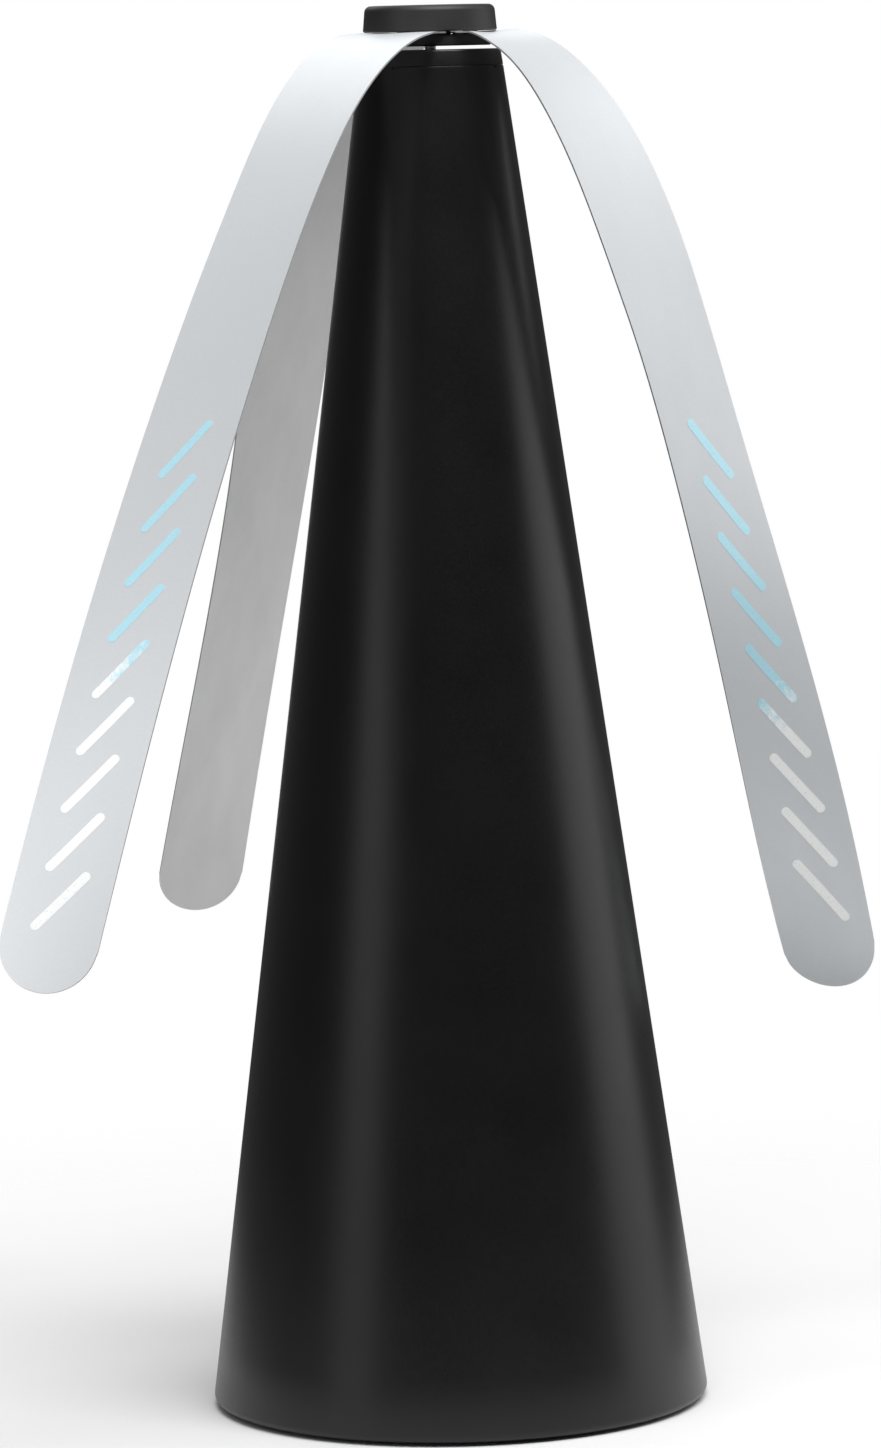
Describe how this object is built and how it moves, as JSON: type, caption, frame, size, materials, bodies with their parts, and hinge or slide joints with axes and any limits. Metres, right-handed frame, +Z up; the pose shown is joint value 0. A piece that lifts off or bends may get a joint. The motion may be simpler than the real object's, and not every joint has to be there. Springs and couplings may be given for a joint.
{
  "type": "table-top fly fan",
  "caption": "Tapering matt black table fan body, open motor shaft gap and capped rotor with drooping silver film blades that keep flies off food.",
  "frame": {"origin": "centre of the round base, at the table", "axes": "+Z up along the rotor shaft, -Y to the front, +X to the right seen from the front"},
  "size_m": [0.1549, 0.2035, 0.255],
  "materials": {
    "matt_black": "fine spark-eroded texture, matt black",
    "base_plastic": "moulded, matt black",
    "motor_plastic": "moulded, plain",
    "switch_plastic": "moulded, dark grey",
    "film": "silver-coated plastic film, satin, with iridescent foil stripes outside",
    "bright_steel": "nickel-plated",
    "zinc_steel": "zinc-plated sheet",
    "bronze": "sintered bronze",
    "copper": "copper",
    "ferrite": "sintered ferrite, dull",
    "cell_sleeve": "plain grey sleeve, no print",
    "rubber": "soft, matt",
    "red_sheath": "PVC insulation",
    "black_sheath": "PVC insulation"
  },
  "bodies": {
    "body": {"cone_shell": "matt_black", "top_collar": "matt_black", "motor_can": "zinc_steel", "motor_end_bell": "motor_plastic", "bush_upper": "bronze", "bush_lower": "bronze", "magnet_left": "ferrite", "magnet_right": "ferrite", "brush_terminal_left": "copper", "brush_terminal_right": "copper", "motor_retainer": "motor_plastic", "retainer_screw_front": "bright_steel", "retainer_screw_rear": "bright_steel", "base_plate": "base_plastic", "base_screw_1": "bright_steel", "base_screw_2": "bright_steel", "base_screw_3": "bright_steel", "foot_1": "rubber", "foot_2": "rubber", "foot_3": "rubber", "foot_4": "rubber", "cell_front": "cell_sleeve", "cell_rear": "cell_sleeve", "contact_positive": "bright_steel", "contact_negative": "bright_steel", "contact_bridge": "bright_steel", "switch_housing": "switch_plastic", "switch_terminal_in": "copper", "switch_terminal_out": "copper", "wire_positive": "red_sheath", "wire_switch": "black_sheath", "wire_negative": "black_sheath"},
    "rotor": {"motor_shaft": "bright_steel", "armature_core": "zinc_steel", "armature_winding_1": "copper", "armature_winding_2": "copper", "armature_winding_3": "copper", "commutator": "copper", "thrust_washer": "bronze", "rotor_hub": "matt_black", "rotor_cap": "matt_black", "blade_front_left_tab": "film", "blade_front_right_tab": "film", "blade_rear_tab": "film"},
    "blade_front_left_inner": {"blade_front_left_inner": "film"},
    "blade_front_left_outer": {"blade_front_left_outer": "film"},
    "blade_front_right_inner": {"blade_front_right_inner": "film"},
    "blade_front_right_outer": {"blade_front_right_outer": "film"},
    "blade_rear_inner": {"blade_rear_inner": "film"},
    "blade_rear_outer": {"blade_rear_outer": "film"},
    "slider": {"switch_slider": "switch_plastic"},
    "door": {"battery_door": "base_plastic"}
  },
  "joints": [
    {"name": "rotor_spin", "type": "hinge", "parent": "body", "child": "rotor", "pos_m": [0, 0, 0.24], "axis": [0, 0, 1], "continuous": true},
    {"name": "front_left_lift", "type": "hinge", "parent": "rotor", "child": "blade_front_left_inner", "pos_m": [-0.00782, -0.01012, 0.24977], "axis": [-0.7901, 0.6126, -0.0209], "range_deg": [0, 30]},
    {"name": "front_left_straighten", "type": "hinge", "parent": "blade_front_left_inner", "child": "blade_front_left_outer", "pos_m": [-0.02, -0.02671, 0.23854], "axis": [-0.7557, 0.6448, -0.1147], "range_deg": [0, 35]},
    {"name": "front_right_lift", "type": "hinge", "parent": "rotor", "child": "blade_front_right_inner", "pos_m": [0.0123, -0.0034, 0.24958], "axis": [-0.2741, -0.96, -0.058], "range_deg": [0, 30]},
    {"name": "front_right_straighten", "type": "hinge", "parent": "blade_front_right_inner", "child": "blade_front_right_outer", "pos_m": [0.02835, -0.00577, 0.23308], "axis": [-0.4697, -0.8364, -0.2824], "range_deg": [0, 35]},
    {"name": "rear_lift", "type": "hinge", "parent": "rotor", "child": "blade_rear_inner", "pos_m": [-0.0067, 0.01089, 0.24976], "axis": [0.8515, 0.5243, 0.0046], "range_deg": [0, 30]},
    {"name": "rear_straighten", "type": "hinge", "parent": "blade_rear_inner", "child": "blade_rear_outer", "pos_m": [-0.017, 0.02793, 0.23756], "axis": [0.8381, 0.5439, 0.0415], "range_deg": [0, 35]},
    {"name": "switch_slide", "type": "slide", "parent": "body", "child": "slider", "axis": [1, 0, 0], "range_m": [0, 0.003]},
    {"name": "battery_door_open", "type": "hinge", "parent": "body", "child": "door", "pos_m": [-0.0273, 0, 0.0019], "axis": [0, 1, 0], "range_deg": [0, 80]}
  ],
  "couplings": [
    {"joint": "front_left_straighten", "follows": "front_left_lift", "ratio": 1.1667},
    {"joint": "front_right_straighten", "follows": "front_right_lift", "ratio": 1.1667},
    {"joint": "rear_straighten", "follows": "rear_lift", "ratio": 1.1667}
  ]
}
